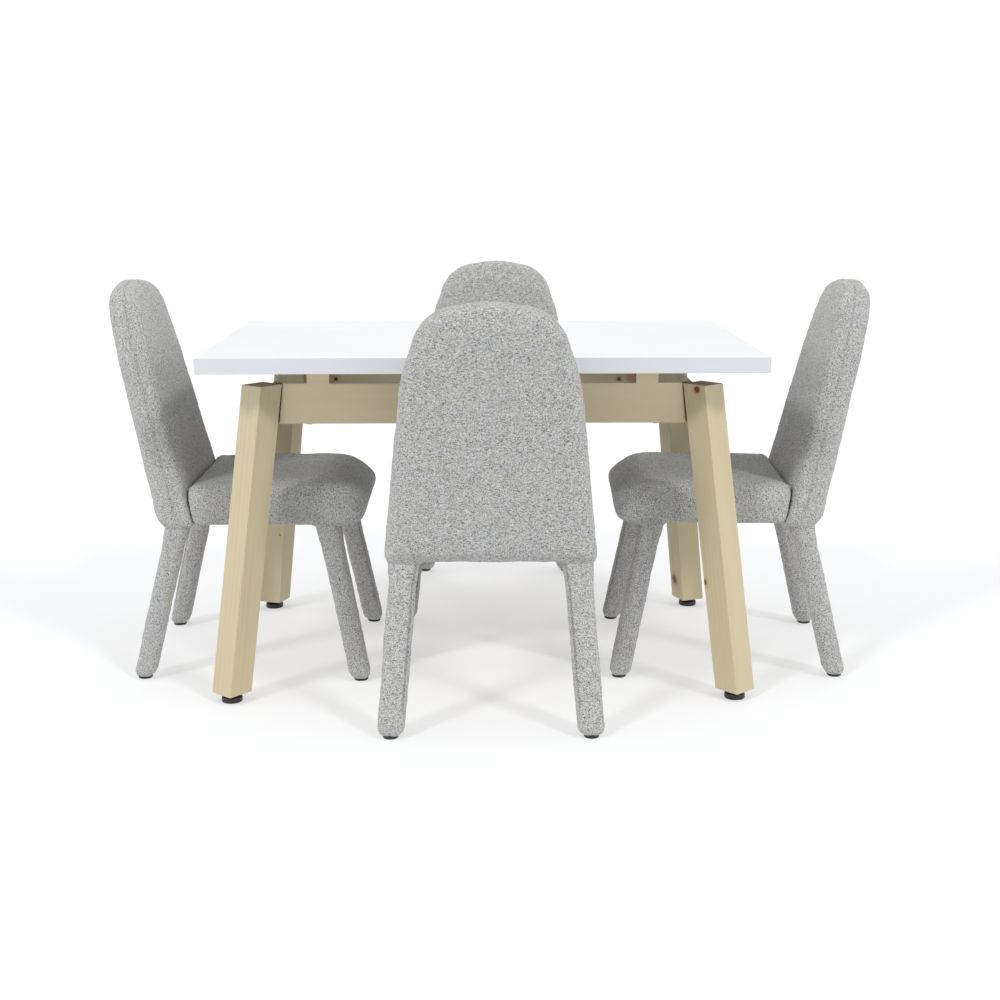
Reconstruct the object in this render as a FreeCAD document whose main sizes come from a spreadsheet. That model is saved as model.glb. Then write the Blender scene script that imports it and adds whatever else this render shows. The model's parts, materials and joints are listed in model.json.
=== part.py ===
import FreeCAD, Part

import math
import os
import re

import Sketcher

# Children's table with four upholstered chairs, in millimetres, +Z up.
# The origin is on the floor under the middle of the whole set; +X runs along the table's long side.
# The table is drawn about its own middle, and stands a little off the origin, because the chairs are
# not all pushed in equally. A chair is drawn facing +Y, with its own origin between its rear feet.

Vector = FreeCAD.Vector
Rotation = FreeCAD.Rotation
Placement = FreeCAD.Placement

SIZES = {
    # where the table's middle stands
    "table_x": -17.0,
    "table_y": -51.6,
    # table top
    "top_length": 900.0,
    "top_depth": 595.0,
    "top_thickness": 26.0,
    "top_edge_round": 1.5,
    "table_height": 570.0,
    "wood_edge_round": 1.2,
    # table legs: square posts that lean outwards both ways
    "post_side": 46.0,
    "post_bottom": 15.7,
    "post_top": 516.0,
    "post_top_x": 358.0,
    "post_top_y": 207.5,
    "post_foot_x": 415.5,
    "post_foot_y": 272.0,
    "front_post_turn": 4.0,
    "back_post_turn": 25.0,
    # aprons
    "apron_thickness": 16.0,
    "apron_height": 66.0,
    "long_apron_face_y": 200.0,
    "long_apron_half": 325.0,
    "long_apron_splay": 7.5,
    "side_apron_face_x": 344.0,
    "side_apron_front_half": 183.7,
    "side_apron_back_half": 174.0,
    "side_apron_splay": 8.5,
    "tab_middle_x": 268.0,
    "tab_width": 36.5,
    # corner blocks and their bolts
    "block_depth": 60.0,
    "block_width": 76.0,
    "block_height": 48.0,
    "fit_gap": 0.3,
    "bolt_radius": 4.0,
    "bolt_in_post": 26.0,
    "bolt_tail": 12.0,
    "washer_radius": 10.0,
    "washer_thickness": 2.0,
    "nut_radius": 7.5,
    "nut_height": 6.5,
    # screws that hold the top
    "screw_radius": 2.2,
    "screw_length": 66.0,
    "screw_head_radius": 4.5,
    "screw_head_height": 3.0,
    "screw_recess": 38.0,
    "screw_recess_radius": 5.0,
    # levelling glides and their threaded sleeves
    "glide_radius": 17.0,
    "glide_disc": 10.5,
    "glide_chamfer": 3.0,
    "glide_bevel": 1.0,
    "glide_collar_radius": 6.5,
    "stem_radius": 4.0,
    "stem_length": 26.0,
    "sleeve_radius": 6.0,
    "sleeve_length": 40.0,
    "sleeve_end": 2.0,
    "stem_clearance": 0.08,
    # chair back: a thick raked panel with an arched top
    "seat_bottom": 270.0,
    "back_rear_low": 31.0,
    "back_front_low": 93.0,
    "back_rear_top": -62.0,
    "back_front_top": -14.0,
    "back_top": 671.0,
    "back_half_low": 163.0,
    "back_half_mid": 134.0,
    "back_mid_z": 525.0,
    "back_half_shoulder": 116.0,
    "back_shoulder_z": 602.0,
    "back_half_crown": 46.0,
    "back_crown_z": 665.0,
    "back_side_radius": 304.0,
    "back_shoulder_radius": 76.0,
    "back_crown_radius": 200.0,
    "back_edge_round": 21.0,
    "back_slab_above": 40.0,
    "back_slab_beside": 10.0,
    "back_arch_depth": 400.0,
    # chair seat
    "seat_top": 337.0,
    "seat_front": 381.0,
    "seat_half": 165.0,
    "seat_nose_round": 32.0,
    "seat_edge_round": 20.0,
    "deck_thickness": 10.0,
    "deck_half": 150.0,
    "deck_rear": 108.0,
    "deck_front": 350.0,
    # chair legs
    "leg_width": 42.0,
    "leg_thickness": 38.5,
    "leg_round": 14.0,
    "leg_end_round": 9.0,
    "rear_leg_top_x": 133.5,
    "rear_leg_top_y": 63.0,
    "rear_foot_x": 157.0,
    "rear_foot_y": -2.0,
    "front_leg_top_x": 142.0,
    "front_leg_top_y": 318.0,
    "front_foot_x": 172.0,
    "front_foot_y": 372.0,
    "slip_radius": 12.0,
    "slip_thickness": 4.0,
    "stud_radius": 4.0,
    "stud_below": 30.0,
    # where each chair stands: its origin, from the table's middle, and the way it faces
    "near_chair_x": 9.0,
    "near_chair_y": -438.5,
    "near_chair_turn": -0.6,
    "left_chair_x": -581.0,
    "left_chair_y": 4.5,
    "left_chair_turn": -90.2,
    "right_chair_x": 613.5,
    "right_chair_y": -8.5,
    "right_chair_turn": 87.0,
    "far_chair_x": 33.0,
    "far_chair_y": 541.5,
    "far_chair_turn": 178.4,
}

doc = FreeCAD.newDocument("kids_table_and_chairs")
sheet = doc.addObject("Spreadsheet::Sheet", "Sizes")
for row, (alias, number) in enumerate(SIZES.items(), start=1):
    sheet.set(f"A{row}", alias)
    sheet.set(f"B{row}", str(number))
    sheet.setAlias(f"B{row}", alias)
doc.recompute()

finished = {}
NEAR = 1.0
LONG_EDGE = 100.0


# ---------------------------------------------------------------- shared helpers

def bound(text):
    """The expression with every size name pointed at its sheet cell."""
    return re.sub(r"[a-z_]+", lambda word: "Sizes." + word[0] if word[0] in SIZES else word[0], text)


def value(text):
    """The number that an expression of size names comes to."""
    result = sheet.evalExpression(bound(text))
    return float(getattr(result, "Value", result))


def bind(obj, path, text):
    obj.setExpression(path, bound(text))


def place(obj, x="0", y="0", z="0"):
    """Bind an object's position to expressions."""
    for axis, text in (("x", x), ("y", y), ("z", z)):
        bind(obj, f".Placement.Base.{axis}", text)


def finish(node, obj, placement=None):
    """Give a sub-part its file name and, for a chair piece, the chair's place."""
    obj.Label = node
    if placement is not None:
        obj.Placement = placement
    finished[node] = obj


def finish_table(node, obj):
    """Finish a piece drawn about the table's middle, and stand it where the table stands."""
    place(obj, "table_x", "table_y")
    finish(node, obj)


def new_body(name):
    return doc.addObject("PartDesign::Body", name)


def new_sketch(body, role, name):
    plane = next(feature for feature in body.Origin.OriginFeatures if feature.Role == role)
    sketch = body.newObject("Sketcher::SketchObject", name)
    sketch.AttachmentSupport = [(plane, "")]
    sketch.MapMode = "FlatFace"
    return sketch


def pin_point(sketch, geometry, point, across, up):
    """Hold one end of a line where two expressions put it."""
    for kind, text in (("DistanceX", across), ("DistanceY", up)):
        number = value(text)
        index = sketch.addConstraint(Sketcher.Constraint(kind, -1, 1, geometry, point, number))
        bind(sketch, f"Constraints[{index}]", text)


def outline(sketch, points):
    """A closed outline. Each point is (across, up) or (across, up, radius of the arc to the next)."""
    spots = [Vector(value(point[0]), value(point[1]), 0) for point in points]
    last = len(points) - 1
    for number, point in enumerate(points):
        start = spots[number]
        end = spots[0 if number == last else number + 1]
        if len(point) == 3:
            sketch.addGeometry(arc_between(start, end, value(point[2])), False)
        else:
            sketch.addGeometry(Part.LineSegment(start, end), False)
    for number, point in enumerate(points):
        before = last if number == 0 else number - 1
        start_end = (2, 1) if len(point) == 3 else (1, 2)
        before_end = 1 if len(points[before]) == 3 else 2
        sketch.addConstraint(Sketcher.Constraint("Coincident", before, before_end, number, start_end[0]))
        pin_point(sketch, number, start_end[0], point[0], point[1])
        if len(point) == 3:
            index = sketch.addConstraint(Sketcher.Constraint("Radius", number, value(point[2])))
            bind(sketch, f"Constraints[{index}]", point[2])


def arc_between(start, end, radius):
    """The short arc of a radius that bulges outwards, from start clockwise to end."""
    chord = end - start
    half = chord.Length / 2
    inward = Vector(chord.y, -chord.x, 0).normalize()
    centre = start + chord * 0.5 + inward * math.sqrt(radius ** 2 - half ** 2)
    first = math.atan2(end.y - centre.y, end.x - centre.x)
    final = math.atan2(start.y - centre.y, start.x - centre.x)
    circle = Part.Circle(centre, Vector(0, 0, 1), radius)
    return Part.ArcOfCircle(circle, first, final)


def rectangle(sketch, half_across, half_up):
    outline(sketch, [(f"-({half_across})", f"-({half_up})"), (half_across, f"-({half_up})"),
                     (half_across, half_up), (f"-({half_across})", half_up)])


def pad(body, sketch, length, name, both_sides=False):
    feature = body.newObject("PartDesign::Pad", name)
    feature.Profile = sketch
    if both_sides:
        feature.Midplane = True
    bind(feature, "Length", length)
    return feature


def leaning_pad(body, sketch, rise, across, along, name):
    """A pad whose far end is shifted sideways, with both ends level."""
    feature = pad(body, sketch, rise, name)
    feature.UseCustomVector = True
    feature.AlongSketchNormal = True
    bind(feature, "Direction.x", across)
    bind(feature, "Direction.y", along)
    bind(feature, "Direction.z", rise)
    return feature


def round_edges(body, base, radius, name, wanted):
    """Fillet the edges of a body's feature that a test picks out."""
    doc.recompute()
    names = [f"Edge{number}" for number, edge in enumerate(base.Shape.Edges, start=1) if wanted(edge)]
    feature = body.newObject("PartDesign::Fillet", name)
    feature.Base = (base, names)
    bind(feature, "Radius", radius)
    body.Tip = feature
    return feature


def cylinder(name, radius, height, spot=None):
    obj = doc.addObject("Part::Cylinder", name)
    bind(obj, "Radius", radius)
    bind(obj, "Height", height)
    if spot is not None:
        place(obj, *spot)
    return obj


def box(name, length, width, height, spot=None):
    obj = doc.addObject("Part::Box", name)
    bind(obj, "Length", length)
    bind(obj, "Width", width)
    bind(obj, "Height", height)
    if spot is not None:
        place(obj, *spot)
    return obj


def fuse(name, pieces):
    obj = doc.addObject("Part::MultiFuse", name)
    obj.Shapes = pieces
    return obj


def group(name, pieces):
    """Identical fasteners as one sub-part of separate solids."""
    obj = doc.addObject("Part::Compound", name)
    obj.Links = pieces
    return obj


def cut(name, base, tools):
    obj = doc.addObject("Part::Cut", name)
    obj.Base = base
    obj.Tool = tools[0] if len(tools) == 1 else fuse(name + "_tools", tools)
    return obj


def signed(sign, text):
    return text if sign > 0 else f"-({text})"


# ---------------------------------------------------------------- table top

TAB_SIDES = [(-1, "left"), (1, "right")]
LONG_SIDES = [(-1, "front"), (1, "back")]
UNDERSIDE = "table_height - top_thickness"
TAB_HEIGHT = f"{UNDERSIDE} - post_top"
SCREW_START = "post_top - apron_height + screw_recess"
APRON_MIDDLE_Y = "long_apron_face_y - apron_thickness / 2"
BOLT_HOLE = "bolt_radius + stem_clearance"


def make_table_top():
    body = new_body("top_board")
    sketch = new_sketch(body, "XY_Plane", "top_outline")
    rectangle(sketch, "top_length / 2", "top_depth / 2")
    board = pad(body, sketch, "top_thickness", "top_pad")
    round_edges(body, board, "top_edge_round", "top_round",
                lambda edge: edge.Length > value("top_thickness") + NEAR)
    place(body, z=UNDERSIDE)
    pilots = [cylinder(f"top_pilot_{end}_{side}", "screw_radius",
                       f"{SCREW_START} + screw_head_height + screw_length - ({UNDERSIDE})",
                       (signed(tab_sign, "tab_middle_x"), signed(sign, APRON_MIDDLE_Y), UNDERSIDE))
              for sign, side in LONG_SIDES for tab_sign, end in TAB_SIDES]
    finish_table("table_top", cut("table_top", body, pilots))


# ---------------------------------------------------------------- aprons

def make_long_apron(sign, side):
    """A board with two raised tabs that carry the top clear of the frame."""
    body = new_body(f"{side}_apron_board")
    sketch = new_sketch(body, "XZ_Plane", f"{side}_apron_outline")
    low = "-apron_height"
    foot = "long_apron_half + long_apron_splay"
    tab_in = "tab_middle_x - tab_width / 2"
    tab_out = "tab_middle_x + tab_width / 2"
    outline(sketch, [
        (f"-({foot})", low), (foot, low), ("long_apron_half", "0"),
        (tab_out, "0"), (tab_out, TAB_HEIGHT), (tab_in, TAB_HEIGHT), (tab_in, "0"),
        (f"-({tab_in})", "0"), (f"-({tab_in})", TAB_HEIGHT), (f"-({tab_out})", TAB_HEIGHT),
        (f"-({tab_out})", "0"), ("-long_apron_half", "0"),
    ])
    board = pad(body, sketch, "apron_thickness", f"{side}_apron_pad", both_sides=True)
    round_edges(body, board, "wood_edge_round", f"{side}_apron_round",
                lambda edge: edge.BoundBox.XLength > LONG_EDGE)
    place(body, y=signed(sign, APRON_MIDDLE_Y), z="post_top")
    holes = [corner_bore(f"{side}_bore_{end}", x_sign, sign, BOLT_HOLE) for x_sign, end in TAB_SIDES]
    for tab_sign, end in TAB_SIDES:
        spot = (signed(tab_sign, "tab_middle_x"), signed(sign, APRON_MIDDLE_Y), "post_top - apron_height")
        holes.append(cylinder(f"{side}_{end}_recess", "screw_recess_radius", "screw_recess", spot))
        holes.append(cylinder(f"{side}_{end}_hole", "screw_radius + stem_clearance",
                              f"apron_height + {TAB_HEIGHT}", spot))
    finish_table(f"{side}_apron", cut(f"{side}_apron", body, holes))


def make_side_apron(sign, side):
    body = new_body(f"{side}_side_board")
    sketch = new_sketch(body, "YZ_Plane", f"{side}_side_outline")
    outline(sketch, [
        ("-side_apron_front_half", "-apron_height"),
        ("side_apron_back_half + side_apron_splay", "-apron_height"),
        ("side_apron_back_half", "0"), ("-side_apron_front_half", "0"),
    ])
    board = pad(body, sketch, "apron_thickness", f"{side}_side_pad", both_sides=True)
    round_edges(body, board, "wood_edge_round", f"{side}_side_round",
                lambda edge: edge.BoundBox.YLength > LONG_EDGE)
    place(body, x=signed(sign, "side_apron_face_x - apron_thickness / 2"), z="post_top")
    holes = [corner_bore(f"{side}_bore_{end}", sign, y_sign, BOLT_HOLE) for y_sign, end in LONG_SIDES]
    finish_table(f"{side}_apron", cut(f"{side}_apron", body, holes))


def make_top_screws():
    screws = []
    for sign, side in LONG_SIDES:
        for tab_sign, end in TAB_SIDES:
            across = signed(tab_sign, "tab_middle_x")
            along = signed(sign, APRON_MIDDLE_Y)
            head = cylinder(f"{side}_{end}_screw_head", "screw_head_radius", "screw_head_height",
                            (across, along, f"{SCREW_START} - screw_head_height"))
            shank = cylinder(f"{side}_{end}_screw_shank", "screw_radius", "screw_length",
                             (across, along, SCREW_START))
            screws.append(fuse(f"{side}_{end}_screw", [head, shank]))
    finish_table("top_screws", group("top_screws", screws))


# ---------------------------------------------------------------- corners: post, block, bolt, glide

CORNERS = [(-1, -1, "front_left"), (1, -1, "front_right"), (-1, 1, "back_left"), (1, 1, "back_right")]


def inward_angle(x_sign, y_sign):
    """The way a corner bolt points into the frame, in degrees from +X."""
    from_left = 45 + value("front_post_turn") if y_sign < 0 else -45
    return from_left if x_sign < 0 else 180 - from_left


def corner_frame(x_sign, y_sign):
    """A point on a post's axis at block height, and axes there: into the frame, sideways, and up the lean."""
    angle = math.radians(inward_angle(x_sign, y_sign))
    facing = Vector(math.cos(angle), math.sin(angle), 0)
    top = Vector(x_sign * value("post_top_x"), y_sign * value("post_top_y"), value("post_top"))
    foot = Vector(x_sign * value("post_foot_x"), y_sign * value("post_foot_y"), value("post_bottom"))
    lean = top - foot
    height = value("post_top - apron_height / 2")
    middle = foot + lean * ((height - foot.z) / lean.z)
    rise = Vector(0, 0, 1) + facing * (lean.dot(facing) / lean.z)
    rise.normalize()
    sideways = Vector(0, 0, 1).cross(facing)
    outward = sideways.cross(rise)
    return middle, Rotation(outward, sideways, rise, "ZXY")


def corner_placement(x_sign, y_sign, out, along, up):
    """A placement given by distances from the post's axis in the corner's own axes."""
    middle, turn = corner_frame(x_sign, y_sign)
    return Placement(middle + turn.multVec(Vector(out, along, up)), turn)


def corner_bore(name, x_sign, y_sign, radius):
    """A long cylinder along the corner bolt's axis, through block and post."""
    start = value("post_side / 2 + block_depth + bolt_tail")
    length = value("block_depth + bolt_tail + bolt_in_post")
    bore = doc.addObject("Part::Cylinder", name)
    bind(bore, "Radius", radius)
    bind(bore, "Height", "block_depth + bolt_tail + bolt_in_post")
    laid = Rotation(Vector(0, 1, 0), 90)
    start_place = corner_placement(x_sign, y_sign, start - length, 0, 0)
    bore.Placement = Placement(start_place.Base, start_place.Rotation.multiply(laid))
    return bore


def make_post(x_sign, y_sign, corner):
    body = new_body(f"post_{corner}")
    sketch = new_sketch(body, "XY_Plane", f"post_section_{corner}")
    rectangle(sketch, "post_side / 2", "post_side / 2")
    turn = "front_post_turn" if y_sign < 0 else "back_post_turn"
    sketch.AttachmentOffset = Placement(Vector(), Rotation(Vector(0, 0, 1), 1))
    bind(sketch, ".AttachmentOffset.Rotation.Angle", f"{-x_sign} * (45 + {turn})")
    beam = leaning_pad(body, sketch, "post_top - post_bottom",
                       signed(-x_sign, "post_foot_x - post_top_x"),
                       signed(-y_sign, "post_foot_y - post_top_y"), f"post_pad_{corner}")
    round_edges(body, beam, "wood_edge_round", f"post_round_{corner}",
                lambda edge: edge.BoundBox.ZLength > LONG_EDGE)
    foot = (signed(x_sign, "post_foot_x"), signed(y_sign, "post_foot_y"), "post_bottom")
    place(body, *foot)
    socket = cylinder(f"post_socket_{corner}", "sleeve_radius", "sleeve_length", foot)
    bore = corner_bore(f"post_bore_{corner}", x_sign, y_sign, "bolt_radius")
    finish_table(f"leg_{corner}", cut(f"leg_{corner}", body, [socket, bore]))


def make_corner_block(x_sign, y_sign, corner):
    """A hardwood block that fills the inner corner of two aprons, square to its bolt."""
    blank = box(f"block_blank_{corner}", "block_depth", "block_width", "block_height")
    blank.Placement = corner_placement(x_sign, y_sign, value("post_side / 2"),
                                       -value("block_width / 2"), -value("block_height / 2"))
    inner_x = "side_apron_face_x - apron_thickness - fit_gap"
    inner_y = "long_apron_face_y - apron_thickness - fit_gap"
    room = box(f"block_room_{corner}", inner_x, inner_y, "post_top",
               ("0" if x_sign > 0 else f"-({inner_x})", "0" if y_sign > 0 else f"-({inner_y})", "0"))
    block = doc.addObject("Part::Common", f"block_solid_{corner}")
    block.Base = blank
    block.Tool = room
    bore = corner_bore(f"block_bore_{corner}", x_sign, y_sign, BOLT_HOLE)
    finish_table(f"corner_block_{corner}", cut(f"corner_block_{corner}", block, [bore]))


def make_corner_bolts():
    bolts = []
    for x_sign, y_sign, corner in CORNERS:
        shank = corner_bore(f"bolt_shank_{corner}", x_sign, y_sign, "bolt_radius")
        washer = cylinder(f"bolt_washer_{corner}", "washer_radius", "washer_thickness")
        nut = doc.addObject("Part::Prism", f"bolt_nut_{corner}")
        nut.Polygon = 6
        bind(nut, "Circumradius", "nut_radius")
        bind(nut, "Height", "nut_height")
        laid = Rotation(Vector(0, 1, 0), 90)
        seat = value("post_side / 2 + block_depth")
        for piece, out in ((washer, seat), (nut, seat + value("washer_thickness"))):
            spot = corner_placement(x_sign, y_sign, out, 0, 0)
            piece.Placement = Placement(spot.Base, spot.Rotation.multiply(laid))
        bolts.append(fuse(f"bolt_{corner}", [shank, washer, nut]))
    finish_table("corner_bolts", group("corner_bolts", bolts))


def make_glide(x_sign, y_sign, corner):
    """A levelling glide: a round foot with a threaded stem."""
    body = new_body(f"glide_{corner}")
    sketch = new_sketch(body, "XZ_Plane", f"glide_profile_{corner}")
    outline(sketch, [
        ("0", "0"), ("glide_radius - glide_bevel", "0"), ("glide_radius", "glide_bevel"),
        ("glide_radius", "glide_disc - glide_chamfer"), ("glide_radius - glide_chamfer", "glide_disc"),
        ("glide_collar_radius", "glide_disc"), ("glide_collar_radius", "post_bottom"),
        ("stem_radius", "post_bottom"), ("stem_radius", "post_bottom + stem_length"),
        ("0", "post_bottom + stem_length"),
    ])
    turned = body.newObject("PartDesign::Revolution", f"glide_turned_{corner}")
    turned.Profile = sketch
    turned.ReferenceAxis = (sketch, ["V_Axis"])
    turned.Angle = 360
    place(body, f"table_x + {signed(x_sign, 'post_foot_x')}", f"table_y + {signed(y_sign, 'post_foot_y')}")
    finish(f"glide_{corner}", body)


def make_sleeves():
    sleeves = []
    for x_sign, y_sign, corner in CORNERS:
        foot = (signed(x_sign, "post_foot_x"), signed(y_sign, "post_foot_y"), "post_bottom")
        outer = cylinder(f"sleeve_outer_{corner}", "sleeve_radius", "sleeve_length", foot)
        inner = cylinder(f"sleeve_inner_{corner}", "stem_radius + stem_clearance",
                         "sleeve_length - sleeve_end", foot)
        sleeves.append(cut(f"sleeve_{corner}", outer, [inner]))
    finish_table("glide_sleeves", group("glide_sleeves", sleeves))


# ---------------------------------------------------------------- chairs

CHAIRS = ["near_chair", "left_chair", "right_chair", "far_chair"]
CHAIR_LEGS = [("rear", -1), ("rear", 1), ("front", -1), ("front", 1)]
BACK_SLAB_TOP = "back_top + back_slab_above"


def chair_placement(chair):
    turn = Rotation(Vector(0, 0, 1), value(f"{chair}_turn"))
    return Placement(Vector(value(f"table_x + {chair}_x"), value(f"table_y + {chair}_y"), 0), turn)


def stud_top(end):
    """A front stud ends flush with the deck; a rear one runs up into the back."""
    return "seat_bottom + deck_thickness" if end == "front" else "seat_bottom + stud_below"


def stud_bore(name, end, sign, radius):
    return cylinder(name, radius, f"stud_below + {stud_top(end)} - seat_bottom",
                    (signed(sign, f"{end}_leg_top_x"), f"{end}_leg_top_y", "seat_bottom - stud_below"))


def outer_edge(edge):
    """Whether an edge runs round the front or the rear of the back, clear of its flat bottom."""
    crosses = edge.BoundBox.YLength > edge.Length / 2
    return edge.BoundBox.ZMax > value("seat_bottom") + NEAR and not crosses


def make_chair_back(chair, placement):
    """The raked side profile and the arched front outline, crossed, with soft edges."""
    profile = new_body(f"{chair}_back_profile")
    sketch = new_sketch(profile, "YZ_Plane", f"{chair}_back_side")
    outline(sketch, [
        ("back_rear_low", "seat_bottom"), ("back_front_low", "seat_bottom"),
        ("back_front_top", BACK_SLAB_TOP), ("back_rear_top", BACK_SLAB_TOP),
    ])
    pad(profile, sketch, "2 * (back_half_low + back_slab_beside)", f"{chair}_back_slab", both_sides=True)

    arch = new_body(f"{chair}_back_arch")
    sketch = new_sketch(arch, "XZ_Plane", f"{chair}_back_outline")
    outline(sketch, [
        ("back_half_low", "seat_bottom"), ("-back_half_low", "seat_bottom"),
        ("-back_half_mid", "back_mid_z", "back_side_radius"),
        ("-back_half_shoulder", "back_shoulder_z", "back_shoulder_radius"),
        ("-back_half_crown", "back_crown_z", "back_crown_radius"),
        ("back_half_crown", "back_crown_z", "back_shoulder_radius"),
        ("back_half_shoulder", "back_shoulder_z", "back_side_radius"),
        ("back_half_mid", "back_mid_z"),
    ])
    pad(arch, sketch, "back_arch_depth", f"{chair}_back_arch_pad", both_sides=True)

    panel = doc.addObject("Part::MultiCommon", f"{chair}_back_panel")
    panel.Shapes = [profile, arch]
    doc.recompute()
    soft = doc.addObject("Part::Fillet", f"{chair}_back_soft")
    soft.Base = panel
    radius = value("back_edge_round")
    soft.Edges = [(number, radius, radius) for number, edge in enumerate(panel.Shape.Edges, start=1)
                  if outer_edge(edge)]
    studs = [stud_bore(f"{chair}_back_bore_{sign}", "rear", sign, "stud_radius") for sign in (-1, 1)]
    finish(f"{chair}_back", cut(f"{chair}_back", soft, studs), placement)


def make_chair_seat(chair, placement):
    body = new_body(f"{chair}_seat_pad")
    sketch = new_sketch(body, "YZ_Plane", f"{chair}_seat_side")
    rear_top = ("back_front_low + (back_front_top - back_front_low)"
                f" * (seat_top - seat_bottom) / ({BACK_SLAB_TOP} - seat_bottom)")
    outline(sketch, [
        ("back_front_low", "seat_bottom"), ("seat_front", "seat_bottom"),
        ("seat_front", "seat_top"), (rear_top, "seat_top"),
    ])
    block = pad(body, sketch, "2 * seat_half", f"{chair}_seat_block", both_sides=True)
    nose = round_edges(body, block, "seat_nose_round", f"{chair}_seat_nose",
                       lambda edge: edge.BoundBox.YMin > value("seat_front") - NEAR
                       and edge.BoundBox.XLength > LONG_EDGE)
    round_edges(body, nose, "seat_edge_round", f"{chair}_seat_edge",
                lambda edge: edge.BoundBox.XLength < NEAR and edge.BoundBox.YLength > LONG_EDGE)
    recess = box(f"{chair}_seat_recess", "2 * deck_half", "deck_front - deck_rear", "deck_thickness",
                 ("-deck_half", "deck_rear", "seat_bottom"))
    finish(f"{chair}_seat", cut(f"{chair}_seat", body, [recess]), placement)


def make_chair_deck(chair, placement):
    """The plywood panel under the seat pad that the front legs bolt to."""
    panel = box(f"{chair}_deck_panel", "2 * deck_half", "deck_front - deck_rear", "deck_thickness",
                ("-deck_half", "deck_rear", "seat_bottom"))
    studs = [stud_bore(f"{chair}_deck_bore_{sign}", "front", sign, "stud_radius") for sign in (-1, 1)]
    finish(f"{chair}_deck", cut(f"{chair}_deck", panel, studs), placement)


def make_chair_leg(chair, placement, end, sign):
    side = "left" if sign < 0 else "right"
    name = f"{chair}_{end}_{side}_leg"
    body = new_body(f"{name}_shape")
    sketch = new_sketch(body, "XY_Plane", f"{name}_section")
    rectangle(sketch, "leg_width / 2", "leg_thickness / 2")
    shape = leaning_pad(body, sketch, "seat_bottom - slip_thickness",
                        signed(-sign, f"{end}_foot_x - {end}_leg_top_x"), f"{end}_leg_top_y - {end}_foot_y",
                        f"{name}_pad")
    soft = round_edges(body, shape, "leg_round", f"{name}_soft",
                       lambda edge: edge.BoundBox.ZLength > LONG_EDGE)
    round_edges(body, soft, "leg_end_round", f"{name}_end", lambda edge: edge.BoundBox.ZMax < NEAR)
    place(body, signed(sign, f"{end}_foot_x"), f"{end}_foot_y", "slip_thickness")
    bore = stud_bore(f"{name}_bore", end, sign, "stud_radius")
    finish(name, cut(name, body, [bore]), placement)


def make_chair_small_parts(chair, placement):
    slips = []
    studs = []
    for end, sign in CHAIR_LEGS:
        name = f"{chair}_{end}_{'left' if sign < 0 else 'right'}"
        slips.append(cylinder(f"{name}_slip", "slip_radius", "slip_thickness",
                              (signed(sign, f"{end}_foot_x"), f"{end}_foot_y", "0")))
        studs.append(stud_bore(f"{name}_stud", end, sign, "stud_radius"))
    finish(f"{chair}_foot_slips", group(f"{chair}_foot_slips", slips), placement)
    finish(f"{chair}_leg_studs", group(f"{chair}_leg_studs", studs), placement)


# ---------------------------------------------------------------- build everything

make_table_top()
for y_sign, side in LONG_SIDES:
    make_long_apron(y_sign, side)
for x_sign, side in TAB_SIDES:
    make_side_apron(x_sign, side)
make_top_screws()
for x_sign, y_sign, corner in CORNERS:
    make_post(x_sign, y_sign, corner)
    make_corner_block(x_sign, y_sign, corner)
    make_glide(x_sign, y_sign, corner)
make_corner_bolts()
make_sleeves()
for chair in CHAIRS:
    placement = chair_placement(chair)
    make_chair_back(chair, placement)
    make_chair_seat(chair, placement)
    make_chair_deck(chair, placement)
    for end, sign in CHAIR_LEGS:
        make_chair_leg(chair, placement, end, sign)
    make_chair_small_parts(chair, placement)
doc.recompute()

# ---------------------------------------------------------------- check and write

failed = [obj.Name for obj in doc.Objects if {"Invalid", "Error"} & set(obj.State)]
if failed:
    raise RuntimeError(f"objects that did not compute: {failed}")
for node, obj in finished.items():
    if obj.Shape.isNull() or not obj.Shape.isValid():
        raise RuntimeError(f"{node} has no valid shape")
    if obj.Shape.Volume <= 0 or not obj.Shape.Solids:
        raise RuntimeError(f"{node} is not solid")

os.makedirs("parts", exist_ok=True)
for node, obj in finished.items():
    obj.Shape.exportStep(f"parts/{node}.step")
print(f"{len(finished)} sub-parts written")
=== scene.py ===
import json
import math

import bpy
import numpy as np
from mathutils import Matrix, Vector


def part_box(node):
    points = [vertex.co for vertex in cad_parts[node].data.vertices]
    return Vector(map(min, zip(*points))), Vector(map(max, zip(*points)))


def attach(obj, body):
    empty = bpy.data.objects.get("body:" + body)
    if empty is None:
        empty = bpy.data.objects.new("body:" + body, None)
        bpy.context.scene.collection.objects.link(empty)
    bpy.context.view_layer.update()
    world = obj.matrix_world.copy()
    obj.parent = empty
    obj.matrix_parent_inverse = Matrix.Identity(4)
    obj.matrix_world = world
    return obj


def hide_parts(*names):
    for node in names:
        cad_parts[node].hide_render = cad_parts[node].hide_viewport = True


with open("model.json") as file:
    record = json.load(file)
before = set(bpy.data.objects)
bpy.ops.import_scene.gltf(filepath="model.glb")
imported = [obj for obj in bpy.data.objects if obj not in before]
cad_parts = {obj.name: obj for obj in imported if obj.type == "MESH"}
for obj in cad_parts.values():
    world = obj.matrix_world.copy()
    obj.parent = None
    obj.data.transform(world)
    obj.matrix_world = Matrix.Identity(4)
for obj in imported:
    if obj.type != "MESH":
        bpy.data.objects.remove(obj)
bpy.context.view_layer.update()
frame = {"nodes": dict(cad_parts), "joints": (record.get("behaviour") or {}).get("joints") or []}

# Looks for a children's table and four upholstered chairs, in metres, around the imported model.
# A chair's soft pieces are made once, in the chair's own frame: facing +Y, origin on the floor
# between the rear feet. Each of the four chairs then shows them where its own nodes stand.

SCENE = bpy.context.scene
CHAIRS = ["near_chair", "left_chair", "right_chair", "far_chair"]
CORNERS = ["front_left", "front_right", "back_left", "back_right"]
LEGS = ["rear_left", "rear_right", "front_left", "front_right"]


# ---------------------------------------------------------------- places read from the frame

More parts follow.
